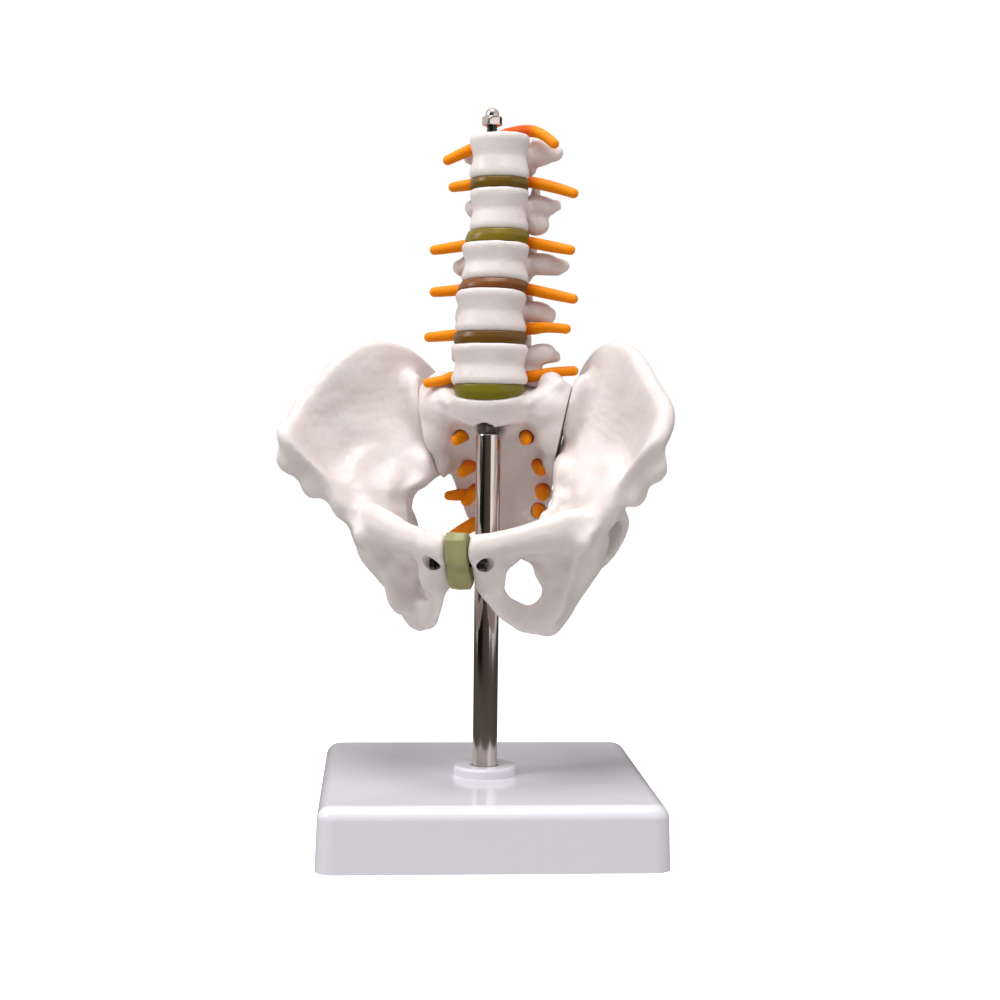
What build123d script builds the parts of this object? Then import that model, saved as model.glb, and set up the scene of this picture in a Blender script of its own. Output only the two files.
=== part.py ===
"""Half life-size pelvis with five lumbar vertebrae on a rod stand, in millimetres.

+Z is up, +Y is the back of the body and +X is its left side. The origin is the
centre of the stand's underside. The stand is turned under the pelvis.
"""

import os
from math import cos, pi, radians, sin, tan

from build123d import *

os.makedirs("parts", exist_ok=True)

# Stand
base_side = 120.0
base_height = 22.2
base_wall = 2.6
base_corner = 6.0
base_edge = 5.0
base_draft = 2.0
base_turn = 18.5
dish_depth = 0.8
dish_margin = 0.6
rib_thick = 2.0
rib_depth = 7.0
boss_dia = 26.0
boss_depth = 4.0
collar_dia = 23.3
collar_height = 3.5
collar_bore = 10.4

# Rod, stud and their nuts
rod_dia = 9.0
rod_length = 124.6
rod_chamfer = 0.5
spigot_dia = 6.0
spigot_length = 14.0
base_nut_flats = 10.0
base_nut_height = 5.0
washer_dia = 18.0
washer_thick = 1.6
stud_dia = 4.0
stud_sunk = 12.0
stud_in_cap = 3.0
thread_gap = 0.1
bore_gap = 0.25
lock_nut_flats = 7.2
lock_nut_height = 5.0
nut_chamfer = 0.4
nut_room = 1.7
cap_nut_flats = 6.5
cap_nut_height = 3.3
cap_dome_dia = 5.0
cap_dome_height = 3.1
cap_nut_lift = 3.0

# Lumbar column, from the fifth vertebra at the bottom to the first at the top
lumbar_names = ["l5", "l4", "l3", "l2", "l1"]
disc_names = ["l5_s1", "l4_l5", "l3_l4", "l2_l3", "l1_l2"]
body_widths = [29.1, 26.9, 25.5, 22.2, 22.6]
body_depths = [19.0, 18.0, 17.0, 15.4, 15.4]
body_heights = [14.45, 14.45, 14.0, 15.2, 15.85]
disc_heights = [3.2, 4.3, 3.5, 4.5, 3.65]
body_sides = [0.0, 0.2, 1.3, 2.3, 2.2]
body_backs = [0.0, 0.3, 1.5, 2.5, 2.6]
plate_tilts = [-17.0, 0.0, 1.5, 1.5, 10.0, 10.0, 5.5, 5.5, 4.0, 4.0, 4.0]
waist = 0.87
process_reach = [23.0, 21.0, 22.0, 20.0, 19.0]
process_rise = [3.0, 1.0, 0.0, 4.0, 3.5]
facet_rise = [4.0, 4.0, 4.0, 3.5, 1.5]
facet_drop = [2.5, 4.5, 4.5, 4.5, 4.5]

# Pelvis
sacrum_top = 9.9
promontory_width = 29.0
promontory_depth = 19.0
joint_gap = 0.3
pubic_half_gap = 4.2
pubic_disc_gap = 0.1
cup_radius = 12.0
cup_wall = 3.0
wing_root = 4.0
wing_root_thick = 12.0

# Screws of the pelvis
pubic_screw_dia = 2.0
pubic_head_dia = 4.6
pubic_head_height = 2.2
pubic_recess_seat = 7.6
pubic_nut_flats = 4.4
pubic_nut_height = 1.8
pubic_screw_back = -36.8
pubic_screw_height = 101.5
pubic_recess_dia = 5.8
joint_screw_dia = 3.0
joint_screw_grip = 12.0
joint_head_dia = 6.0
joint_head_height = 2.0
joint_head_seat = 7.0
joint_head_room = 0.5

# Nerves
nerve_dia = 3.2
nerve_gap = 0.15
nerve_length = 12.0
nerve_mouth_dia = 5.2
nerve_mouth_depth = 7.0
sac_dia = 7.0
sacral_canal_dia = 7.6

# Heights that stack up from the stand
plate_top = base_height - dish_depth
plate_under = plate_top - base_wall
rod_top = plate_top + rod_length
seat = rod_top + lock_nut_height
stud_bore = stud_dia / 2 + bore_gap
corners = 8


def from_seat(a, y, z):
    """A point of the pelvis, measured from the centre of the sacrum's seat."""
    return Vector(a, y, seat + z)


def turned(height):
    """A level plane of the stand, which is turned under the pelvis."""
    return Plane.XY.offset(height).rotated((0, 0, base_turn))


def oval(breadth, thickness, smooth=False):
    """An oval with flats, or a smooth one."""
    turns = [2 * pi * i / corners for i in range(corners)]
    points = [(breadth / 2 * cos(turn), thickness / 2 * sin(turn)) for turn in turns]
    with BuildSketch() as outline:
        with BuildLine():
            if smooth:
                Spline(points, periodic=True)
            else:
                Polyline(points, close=True)
        make_face()
    return outline.sketch


def limb(stations, side, smooth=False, round_end=True):
    """Loft ovals through (point, breadth, thickness), with the breadth along side."""
    points = [Vector(point) for point, breadth, thickness in stations]
    last = len(points) - 1
    with BuildPart() as piece:
        for i, (point, breadth, thickness) in enumerate(stations):
            along = points[min(i + 1, last)] - points[max(i - 1, 0)]
            across = Vector(side) - along * (Vector(side).dot(along) / along.dot(along))
            with BuildSketch(Plane(origin=points[i], x_dir=across, z_dir=along)):
                add(oval(breadth, thickness, smooth))
        if round_end:
            tip = points[last] + along.normalized() * 0.3 * min(breadth, thickness)
            with BuildSketch(Plane(origin=tip, x_dir=across, z_dir=along)):
                add(oval(0.62 * breadth, 0.62 * thickness, smooth))
        loft(ruled=not smooth)
    return piece.part


def hex_nut(flats, height, bore, plane):
    """A hexagon nut that stands on a plane, chamfered at both faces."""
    with BuildPart() as nut:
        with BuildSketch(plane):
            RegularPolygon(radius=flats / 2, side_count=6, major_radius=False)
        extrude(amount=height)
        rims = nut.faces().filter_by(lambda face: abs(face.normal_at().dot(plane.z_dir)) > 0.9)
        chamfer(rims.edges(), nut_chamfer)
        if bore:
            with BuildSketch(plane):
                Circle(bore / 2)
            extrude(amount=height, mode=Mode.SUBTRACT)
    return nut.part


# Stand


def base():
    """The moulded base: a thin box open underneath, with a shallow dished top."""
    inset = base_height * tan(radians(base_draft))
    inner_side = base_side - 2 * base_wall
    dish_side = base_side - 2 * (inset + base_edge + dish_margin)
    with BuildPart() as box:
        with BuildSketch(turned(0)):
            RectangleRounded(base_side, base_side, base_corner)
        extrude(amount=base_height, taper=base_draft)
        fillet(box.faces().sort_by(Axis.Z)[-1].edges(), base_edge)
        with BuildSketch(turned(base_height)):
            Rectangle(dish_side, dish_side)
        with BuildSketch(turned(plate_top)):
            Rectangle(boss_dia, boss_dia)
        loft(mode=Mode.SUBTRACT)
        with BuildSketch(turned(0)):
            RectangleRounded(inner_side, inner_side, base_corner - base_wall)
        extrude(amount=plate_under, taper=base_draft, mode=Mode.SUBTRACT)
        with BuildSketch(turned(plate_under)):
            Rectangle(inner_side - inset, rib_thick)
            Rectangle(rib_thick, inner_side - inset)
        extrude(amount=-rib_depth)
        with BuildSketch(turned(plate_under)):
            Circle(boss_dia / 2)
        extrude(amount=-rib_depth, mode=Mode.SUBTRACT)
        with BuildSketch(turned(plate_under)):
            Circle(boss_dia / 2)
        extrude(amount=-boss_depth)
        with BuildSketch(turned(0)):
            Circle(spigot_dia / 2 + bore_gap)
        extrude(amount=base_height, mode=Mode.SUBTRACT)
    return box


def base_collar():
    """The round collar on the base, with a hole wider than the rod."""
    with BuildPart() as collar:
        with BuildSketch(Plane.XY.offset(plate_top)):
            Circle(collar_dia / 2)
            Circle(collar_bore / 2, mode=Mode.SUBTRACT)
        extrude(amount=collar_height)
        chamfer(collar.faces().sort_by(Axis.Z)[-1].edges(), collar_height / 5)
    return collar


def base_washer():
    with BuildPart() as washer:
        with BuildSketch(Plane.XY.offset(plate_under - boss_depth - washer_thick)):
            Circle(washer_dia / 2)
            Circle(spigot_dia / 2 + bore_gap, mode=Mode.SUBTRACT)
        extrude(amount=washer_thick)
    return washer


def base_nut():
    under = plate_under - boss_depth - washer_thick - base_nut_height
    with BuildPart() as nut:
        add(hex_nut(base_nut_flats, base_nut_height, spigot_dia + 2 * thread_gap, Plane.XY.offset(under)))
    return nut


def stand_rod():
    """The rod, with a spigot through the base and a threaded hole in its top."""
    with BuildPart() as rod:
        with BuildSketch(Plane.XY.offset(plate_top)):
            Circle(rod_dia / 2)
        extrude(amount=rod_length)
        chamfer(rod.faces().sort_by(Axis.Z)[-1].edges(), rod_chamfer)
        with BuildSketch(Plane.XY.offset(plate_top)):
            Circle(spigot_dia / 2)
        extrude(amount=-spigot_length)
        with BuildSketch(Plane.XY.offset(rod_top)):
            Circle(stud_dia / 2 + thread_gap)
        extrude(amount=-stud_sunk - thread_gap, mode=Mode.SUBTRACT)
    return rod


def rod_lock_nut():
    with BuildPart() as nut:
        add(hex_nut(lock_nut_flats, lock_nut_height, stud_dia + 2 * thread_gap, Plane.XY.offset(rod_top)))
    return nut


def spine_stud():
    """The threaded stud that the whole column is pushed on."""
    length = stud_sunk + column_top + cap_nut_lift + stud_in_cap - rod_top
    with BuildPart() as stud:
        with BuildSketch(Plane.XY.offset(rod_top - stud_sunk)):
            Circle(stud_dia / 2)
        extrude(amount=length)
        chamfer(stud.edges().filter_by(GeomType.CIRCLE), stud_dia / 10)
    return stud


def cap_nut():
    """The domed nut at the top of the stud."""
    foot = column_top + cap_nut_lift
    top = foot + cap_nut_height
    with BuildPart() as nut:
        add(hex_nut(cap_nut_flats, cap_nut_height, 0, Plane.XY.offset(foot)))
        with BuildSketch(Plane.XZ):
            with BuildLine():
                Line((0, foot), (cap_dome_dia / 2, foot))
                Line((cap_dome_dia / 2, foot), (cap_dome_dia / 2, top))
                ThreePointArc(
                    (cap_dome_dia / 2, top),
                    (0.4 * cap_dome_dia, top + 0.65 * cap_dome_height),
                    (cap_dome_dia / 6, top + cap_dome_height),
                )
                Line((cap_dome_dia / 6, top + cap_dome_height), (0, top + cap_dome_height))
                Line((0, top + cap_dome_height), (0, foot))
            make_face()
        revolve(axis=Axis.Z)
        with BuildSketch(Plane.XY.offset(foot)):
            Circle(stud_dia / 2 + thread_gap)
        extrude(amount=stud_in_cap + thread_gap, mode=Mode.SUBTRACT)
    return nut


# Lumbar column


def plate_plane(side, back, height, tilt):
    """The plane of an end plate, whose front edge rises with the tilt."""
    lean = radians(tilt)
    return Plane(origin=(side, back, height), x_dir=(1, 0, 0), z_dir=(0, sin(lean), cos(lean)))


def between(low, high, share):
    """A plane part of the way from one end plate to the next."""
    origin = low.origin + (high.origin - low.origin) * share
    normal = low.z_dir + (high.z_dir - low.z_dir) * share
    return Plane(origin=origin, x_dir=(1, 0, 0), z_dir=normal)


def stack_planes():
    """The end-plate planes, from the top of the sacrum to the top of the column."""
    planes = [plate_plane(0, 0, seat + sacrum_top, plate_tilts[0])]
    height = seat + sacrum_top
    for level in range(len(lumbar_names)):
        place = (body_sides[level], body_backs[level])
        height += disc_heights[level]
        planes.append(plate_plane(*place, height, plate_tilts[2 * level + 1]))
        height += body_heights[level]
        planes.append(plate_plane(*place, height, plate_tilts[2 * level + 2]))
    return planes


plates = stack_planes()
column_top = plates[-1].origin.Z


def end_plate(width, depth):
    """The kidney outline of a vertebral body, with its front at -Y."""
    half, rear = 0.30 * width, 0.42 * depth
    with BuildSketch() as outline:
        with BuildLine():
            Spline(
                (half, rear),
                (0.45 * width, 0.24 * depth),
                (0.49 * width, -0.06 * depth),
                (0.32 * width, -0.39 * depth),
                (0, -0.50 * depth),
                (-0.32 * width, -0.39 * depth),
                (-0.49 * width, -0.06 * depth),
                (-0.45 * width, 0.24 * depth),
                (-half, rear),
            )
            Line((-half, rear), (half, rear))
        make_face()
    return outline.sketch


def stud_hole(low, rise):
    """The bore for the stud, made long enough for a tilted piece."""
    with BuildPart() as hole:
        with BuildSketch(Plane.XY.offset(low.origin.Z - promontory_depth)):
            Circle(stud_bore)
        extrude(amount=rise + 2 * promontory_depth)
    return hole.part


def vertebra(level):
    """One lumbar vertebra: the waisted body and the arch behind it."""
    low, high = plates[2 * level + 1], plates[2 * level + 2]
    width, depth, height = body_widths[level], body_depths[level], body_heights[level]
    mid = between(low, high, 0.5)
    rear = 0.43 * depth
    reach, rise = process_reach[level], process_rise[level]
    top_of_facet = 0.5 * height + facet_rise[level]
    foot_of_facet = -0.5 * height - facet_drop[level]

    def at(a, y, z):
        return mid.from_local_coords(Vector(a, y, z))

    with BuildPart() as bone:
        for share, scale in ((0, 0.96), (0.13, 1.0), (0.5, waist), (0.87, 1.0), (1, 0.96)):
            with BuildSketch(between(low, high, share)):
                add(end_plate(scale * width, scale * depth))
        loft(ruled=True)
        limbs = []
        for s in (-1, 1):
            pedicle = [
                (at(s * 7.0, rear - 3.5, 2.6), 4.0, 7.0),
                (at(s * 7.6, rear + 5.0, 2.0), 4.0, 7.0),
                (at(s * 7.8, rear + 8.5, 0.5), 4.6, 8.5),
            ]
            limbs.append(limb(pedicle, (1, 0, 0), round_end=False))
            lamina = [
                (at(s * 8.2, rear + 7.0, 0.5), 4.2, 8.5),
                (at(s * 4.5, rear + 10.6, -1.6), 3.8, 9.5),
                (at(-s * 0.6, rear + 13.5, -3.2), 3.4, 9.5),
            ]
            limbs.append(limb(lamina, (0, 1, 0), round_end=False))
            transverse = [
                (at(s * 7.5, rear + 5.8, 1.6), 6.4, 7.6),
                (at(s * (0.55 * reach), rear + 6.2, 1.0 + 0.5 * rise), 4.0, 5.4),
                (at(s * (reach - 1.0), rear + 7.0, 0.6 + rise), 3.2, 4.8),
            ]
            limbs.append(limb(transverse, (0, 1, 0)))
            upper_facet = [
                (at(s * 9.4, rear + 8.0, 0.5), 4.4, 6.6),
                (at(s * 9.9, rear + 7.8, 0.5 * height), 3.8, 5.6),
                (at(s * 10.0, rear + 8.0, top_of_facet), 3.4, 4.8),
            ]
            limbs.append(limb(upper_facet, (1, 0, 0)))
            lower_facet = [
                (at(s * 5.4, rear + 10.0, -1.0), 4.2, 6.0),
                (at(s * 5.2, rear + 9.6, -0.5 * height), 3.8, 5.4),
                (at(s * 5.2, rear + 9.4, foot_of_facet), 3.2, 4.4),
            ]
            limbs.append(limb(lower_facet, (1, 0, 0)))
        spine = [
            (at(0, rear + 11.5, -2.6), 3.6, 9.5),
            (at(0, rear + 19.0, -4.0), 2.6, 9.5),
            (at(0, rear + 26.0, -5.6), 3.8, 10.5),
        ]
        limbs.append(limb(spine, (1, 0, 0)))
        add(limbs)
        add(stud_hole(low, height), mode=Mode.SUBTRACT)
    return bone


def disc(level):
    """The elastic disc under a vertebra, between two end plates."""
    low, high = plates[2 * level], plates[2 * level + 1]
    under = max(level - 1, 0)
    width = (body_widths[level] + body_widths[under]) / 2
    depth = (body_depths[level] + body_depths[under]) / 2
    with BuildPart() as pad:
        for share, scale in ((0, 0.95), (0.5, 0.99), (1, 0.95)):
            with BuildSketch(between(low, high, share)):
                add(end_plate(scale * width, scale * depth))
        loft(ruled=True)
        add(stud_hole(low, disc_heights[level]), mode=Mode.SUBTRACT)
    return pad


# Sacrum

# height of each level's front middle, its tilt, width, depth and the sweep of its sides
sacral_levels = [
    (-8.6, 4.1, -20, 57, 24, 20),
    (1.0, -2.5, -35, 60, 24, 12),
    (10.0, -11.5, -38, 54, 20, 5),
    (19.5, -20.0, -33, 46, 15, 0),
    (24.5, -29.5, -22, 38, 10.5, -1),
    (26.5, -39.0, -5, 27, 8, -1),
    (26.0, -45.5, 12, 13, 6, 0),
]
coccyx = [
    (from_seat(0, 28.0, -43.5), 13.0, 6.0),
    (from_seat(0, 26.5, -49.5), 11.5, 4.6),
    (from_seat(0, 24.0, -53.5), 8.0, 4.0),
    (from_seat(0, 20.5, -56.5), 5.0, 3.2),
]
crest = [
    (from_seat(0, 20.5, 7.0), 3.0, 5.0),
    (from_seat(0, 27.5, 1.5), 5.0, 9.0),
    (from_seat(0, 29.0, -5.0), 3.4, 6.0),
    (from_seat(0, 32.5, -10.5), 5.0, 8.0),
    (from_seat(0, 33.5, -18.0), 3.4, 5.0),
    (from_seat(0, 35.0, -24.0), 4.6, 6.5),
    (from_seat(0, 34.5, -34.0), 3.0, 3.5),
]
canal = [
    (from_seat(0, 12.0, 15.0), sacral_canal_dia, sacral_canal_dia),
    (from_seat(0, 14.5, 7.0), sacral_canal_dia, sacral_canal_dia),
    (from_seat(0, 19.0, -1.0), sacral_canal_dia, sacral_canal_dia),
    (from_seat(0, 25.0, -10.0), 0.8 * sacral_canal_dia, 0.8 * sacral_canal_dia),
    (from_seat(0, 29.5, -20.0), 0.6 * sacral_canal_dia, 0.6 * sacral_canal_dia),
]
joint_front = from_seat(28.5, 12.0, 12.0)
joint_outward = Vector(0.966, 0.142, -0.217)
joint_screw_place = (21.0, -1.0)
# tips of the sacral nerves on one side: across, back and height
sacral_tips = [
    from_seat(15.8, 6.0, -8.0),
    from_seat(18.3, 16.0, -19.0),
    from_seat(17.5, 21.0, -29.5),
    from_seat(12.5, 23.0, -37.0),
]
sacral_nerve_inward = Vector(-0.45, 0.80, 0.38)


def mirrored(point, s):
    """A point or direction on the left side, or its mirror on the right."""
    return Vector(s * point.X, point.Y, point.Z)


def sacral_outline(width, depth, sweep):
    """A level of the sacrum from its front middle, with its sides swept back."""
    with BuildSketch() as outline:
        with BuildLine():
            Spline(
                (0, 0),
                (0.26 * width, 0.28 * sweep),
                (0.5 * width, sweep),
                (0.40 * width, 0.35 * sweep + 0.65 * depth),
                (0.20 * width, 0.92 * depth),
                (0, depth),
                (-0.20 * width, 0.92 * depth),
                (-0.40 * width, 0.35 * sweep + 0.65 * depth),
                (-0.5 * width, sweep),
                (-0.26 * width, 0.28 * sweep),
                periodic=True,
            )
        make_face()
    return outline.sketch


def sacral_nerve(tip, s, swell, inner):
    """A rod along a sacral nerve, from its tip inwards, as a nerve or as its hole."""
    start = mirrored(tip, s)
    inward = mirrored(sacral_nerve_inward, s).normalized()
    dia = nerve_dia + 2 * swell
    return limb([(start + inward * inner, dia, dia), (start, dia, dia)], (0, 0, 1), round_end=not swell)


def joint_screw_axis(s):
    """The plane across a screw of the sacroiliac joint, on the joint's face."""
    back, up = joint_screw_place
    slope = joint_outward.Y * (back - joint_front.Y) + joint_outward.Z * (seat + up - joint_front.Z)
    side = joint_front.X - slope / joint_outward.X
    return Plane(origin=(s * side, back, seat + up), z_dir=mirrored(joint_outward, s))


def sacrum():
    """The sacrum with the coccyx, its canal, its holes and the nut's recess."""
    mouth_gap = (nerve_mouth_dia - nerve_dia) / 2
    with BuildPart() as bone:
        for y, z, tilt, width, depth, sweep in sacral_levels:
            with BuildSketch(plate_plane(0, y, seat + z, tilt)):
                add(sacral_outline(width, depth, sweep))
        loft()
        for s in (-1, 1):
            ala = [
                (from_seat(s * 15.0, 4.0, 6.0), 14.0, 9.0),
                (from_seat(s * 20.0, 6.5, 9.5), 11.0, 8.0),
                (from_seat(s * 25.0, 8.0, 13.5), 7.0, 5.0),
            ]
            add(limb(ala, (0, 1, 0)))
            joint = Plane(origin=mirrored(joint_front, s), z_dir=mirrored(joint_outward, s))
            split(bisect_by=joint, keep=Keep.BOTTOM)
        for share, scale in ((0, 0.96), (-0.35, 1.0), (-2.2, 0.9)):
            with BuildSketch(between(plates[0], plates[1], share)):
                add(end_plate(scale * promontory_width, scale * promontory_depth))
        loft(ruled=True)
        add([limb(crest, (1, 0, 0)), limb(coccyx, (1, 0, 0))])
        with BuildSketch(Plane.YZ.offset(-8.0)):
            with BuildLine():
                Polyline(
                    (9.5, seat + 19),
                    (9.5, seat + 9),
                    (14.5, seat + 5),
                    (24.0, seat + 1),
                    (32.0, seat + 19),
                    close=True,
                )
            make_face()
        extrude(amount=16.0, mode=Mode.SUBTRACT)
        for s in (-1, 1):
            upper_facet = [
                (from_seat(s * 11.5, 17.0, 4.0), 5.0, 6.0),
                (from_seat(s * 11.5, 16.5, 11.0), 4.6, 5.4),
                (from_seat(s * 11.3, 15.8, 14.5), 3.8, 4.6),
            ]
            add(limb(upper_facet, (1, 0, 0)))
        add(limb(canal, (1, 0, 0), round_end=False), mode=Mode.SUBTRACT)
        holes = []
        for s in (-1, 1):
            for tip in sacral_tips:
                holes.append(sacral_nerve(tip, s, nerve_gap, nerve_length))
                holes.append(sacral_nerve(tip, s, mouth_gap, nerve_mouth_depth))
        add(holes, mode=Mode.SUBTRACT)
        for s in (-1, 1):
            with BuildSketch(joint_screw_axis(s)):
                Circle(joint_screw_dia / 2 + thread_gap)
            extrude(amount=-joint_screw_grip - thread_gap, mode=Mode.SUBTRACT)
        with BuildSketch(Plane.XY.offset(seat)):
            Circle(rod_dia / 2 + nut_room)
        extrude(amount=-2 * promontory_depth, mode=Mode.SUBTRACT)
        add(stud_hole(plates[0], 0), mode=Mode.SUBTRACT)
        with BuildSketch(plates[0]):
            add(end_plate(body_widths[0], body_depths[0]))
        extrude(amount=2 * disc_heights[0], mode=Mode.SUBTRACT)
    return bone


# Hip bones, made on the left and mirrored

hub = from_seat(42.0, -4.0, -33.0)
wing_forward = Vector(0.531, -0.843, -0.092)
wing_inward = Vector(-0.776, -0.527, 0.347)
wing_up = wing_inward.cross(wing_forward)
# angle from forward, reach, crest offset inward, crest thickness, belly offset, belly thickness
wing_fan = [
    (-35, 15, 1.0, 8.0, 1.0, 9.0),
    (-10, 18, 3.0, 7.0, 2.0, 8.0),
    (12, 23.5, 4.5, 6.0, 2.0, 6.0),
    (24, 26.5, 5.0, 5.0, 2.0, 5.0),
    (32, 35, 5.5, 5.5, 1.5, 4.0),
    (40, 47.5, 4.5, 7.0, 0.5, 3.4),
    (52, 47.5, 1.0, 7.5, -2.0, 3.0),
    (64, 48.5, -1.5, 7.0, -3.5, 3.0),
    (75, 51.5, 2.0, 6.5, -2.5, 3.0),
    (86, 57, 7.0, 6.0, 0.0, 3.0),
    (101, 62, 11.5, 5.5, 4.0, 3.4),
    (120, 62, 12.0, 5.5, 7.5, 6.0),
    (138, 60, 9.0, 6.0, 8.0, 10.0),
    (152, 57, 6.0, 6.5, 8.0, 12.0),
    (166, 45, 2.5, 6.0, 7.0, 11.0),
]
column = [
    (from_seat(44.0, -1.0, -13.0), 14.0, 3.0),
    (from_seat(41.0, -4.0, -22.0), 28.0, 9.0),
    (from_seat(40.0, -7.0, -34.0), 30.0, 14.0),
    (from_seat(37.5, -6.0, -47.0), 25.0, 14.0),
    (from_seat(31.0, -2.0, -59.0), 19.0, 12.0),
    (from_seat(26.5, -2.0, -68.0), 17.0, 11.0),
    (from_seat(23.5, -4.0, -74.5), 12.0, 9.0),
]
rear_pillar = [
    (from_seat(31.0, 15.0, -10.0), 12.0, 10.0),
    (from_seat(34.5, 9.0, -22.0), 11.0, 10.0),
    (from_seat(36.5, 3.0, -36.0), 12.0, 11.0),
]
upper_ramus = [
    (from_seat(43.0, -15.0, -38.0), 19.0, 12.0),
    (from_seat(33.0, -23.5, -38.0), 15.0, 9.5),
    (from_seat(22.0, -31.0, -41.0), 11.5, 8.0),
    (from_seat(12.0, -37.0, -43.0), 11.0, 8.5),
    (from_seat(2.0, -39.5, -44.5), 11.0, 8.5),
]
pubic_body = [
    (from_seat(9.5, -38.5, -42.0), 13.0, 8.0),
    (from_seat(9.5, -35.5, -50.0), 13.0, 7.4),
    (from_seat(9.0, -30.0, -59.0), 10.5, 6.5),
]
lower_ramus = [
    (from_seat(9.0, -31.5, -57.0), 10.0, 6.0),
    (from_seat(12.5, -24.0, -65.0), 9.5, 5.0),
    (from_seat(17.5, -14.0, -70.5), 11.0, 5.5),
    (from_seat(24.0, -5.0, -71.0), 14.0, 8.0),
]
ischial_spine = [
    (from_seat(36.0, 6.0, -45.0), 9.0, 6.0),
    (from_seat(28.0, 14.0, -49.0), 5.0, 3.0),
]
cup_centre = from_seat(45.0, -11.0, -44.5)
cup_axis = Vector(0.80, -0.28, -0.53)
cup_bands = [0, 25, 50, 72]


def wing_outline(reach, crest_in, crest_thick, belly_in, belly_thick):
    """A radial cut through the wing: thick root, thin belly and rounded crest."""
    shoulder = reach - crest_thick / 2
    middle = 0.22 * reach + 0.56 * shoulder
    blend = 0.65 * crest_in + 0.35 * belly_in
    half = 0.25 * (belly_thick + crest_thick)
    with BuildSketch() as outline:
        with BuildLine():
            Line((wing_root, wing_root_thick / 2), (wing_root, -wing_root_thick / 2))
            Spline(
                (wing_root, -wing_root_thick / 2),
                (0.5 * reach, belly_in - belly_thick / 2),
                (middle, blend - half),
                (shoulder, crest_in - crest_thick / 2),
            )
            ThreePointArc(
                (shoulder, crest_in - crest_thick / 2),
                (reach, crest_in),
                (shoulder, crest_in + crest_thick / 2),
            )
            Spline(
                (shoulder, crest_in + crest_thick / 2),
                (middle, blend + half),
                (0.5 * reach, belly_in + belly_thick / 2),
                (wing_root, wing_root_thick / 2),
            )
        make_face()
    return outline.sketch


def wing():
    """The fan-shaped wing, cut flat where it meets the sacrum."""
    with BuildPart() as blade:
        for angle, reach, *shape in wing_fan:
            turn = radians(angle)
            outward = wing_forward * cos(turn) + wing_up * sin(turn)
            with BuildSketch(Plane(origin=hub, x_dir=outward, z_dir=outward.cross(wing_inward))):
                add(wing_outline(reach, *shape))
        loft()
        joint = Plane(origin=joint_front + joint_outward * joint_gap, z_dir=joint_outward)
        split(bisect_by=joint, keep=Keep.TOP)
    return blade.part


def bowl(radius, depth_share=1.0):
    """A hip-socket bowl about the cup's axis, turned from a few flat bands."""
    with BuildPart() as turned_bowl:
        with BuildSketch(Plane.XZ):
            with BuildLine():
                rim = [(radius * cos(radians(b)), -radius * sin(radians(b))) for b in cup_bands]
                Polyline((0, 0), *rim, (0, -radius), close=True)
            make_face()
        revolve(axis=Axis.Z)
    return Plane(origin=cup_centre, z_dir=cup_axis).location * turned_bowl.part


def hip_bone():
    """The left hip bone, with the holes and recesses of its screws."""
    with BuildPart() as bone:
        limbs = [
            wing(),
            limb(column, wing_forward),
            limb(rear_pillar, wing_forward, round_end=False),
            bowl(cup_radius + cup_wall),
            limb(upper_ramus, (0, 0, 1), round_end=False),
            limb(pubic_body, (1, 0, 0), round_end=False),
            limb(lower_ramus, (0.3, 0.3, 0.9), round_end=False),
            limb(ischial_spine, (0, 0, 1)),
        ]
        add(limbs)
        add(bowl(cup_radius), mode=Mode.SUBTRACT)
        split(bisect_by=Plane.YZ.offset(pubic_half_gap), keep=Keep.TOP)
        with BuildSketch(joint_screw_axis(1)):
            Circle(joint_screw_dia / 2 + bore_gap)
        extrude(amount=joint_head_seat, mode=Mode.SUBTRACT)
        with BuildSketch(joint_screw_axis(1).offset(joint_head_seat)):
            Circle(joint_head_dia / 2 + joint_head_room)
        extrude(amount=4 * joint_head_seat, mode=Mode.SUBTRACT)
        pubic = Plane(origin=(0, pubic_screw_back, pubic_screw_height), z_dir=(1, 0, 0))
        with BuildSketch(pubic):
            Circle(pubic_screw_dia / 2 + bore_gap)
        extrude(amount=pubic_recess_seat, mode=Mode.SUBTRACT)
        with BuildSketch(pubic.offset(pubic_recess_seat)):
            Circle(pubic_recess_dia / 2)
        extrude(amount=2 * pubic_recess_seat, mode=Mode.SUBTRACT)
    return bone


# Small parts of the pelvis


def pubic_disc():
    """The pad between the pubic bones, creased around its middle."""
    breadth = 3 * pubic_half_gap
    pad = [
        (from_seat(0, -39.5, -37.0), breadth, 6.0),
        (from_seat(0, -39.8, -39.0), breadth, 9.5),
        (from_seat(0, -38.8, -45.0), breadth, 10.5),
        (from_seat(0, -37.2, -47.0), breadth, 9.0),
        (from_seat(0, -36.2, -49.0), breadth, 10.0),
        (from_seat(0, -33.5, -54.5), breadth, 9.0),
        (from_seat(0, -32.8, -56.0), breadth, 5.5),
    ]
    with BuildPart() as piece:
        add(limb(pad, (1, 0, 0), round_end=False))
        for s in (-1, 1):
            flat = Plane.YZ.offset(s * (pubic_half_gap - pubic_disc_gap))
            split(bisect_by=flat, keep=Keep.BOTTOM if s > 0 else Keep.TOP)
        with BuildSketch(Plane(origin=(0, pubic_screw_back, pubic_screw_height), z_dir=(1, 0, 0))):
            Circle(pubic_screw_dia / 2 + bore_gap)
        extrude(amount=breadth, both=True, mode=Mode.SUBTRACT)
    return piece


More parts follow.
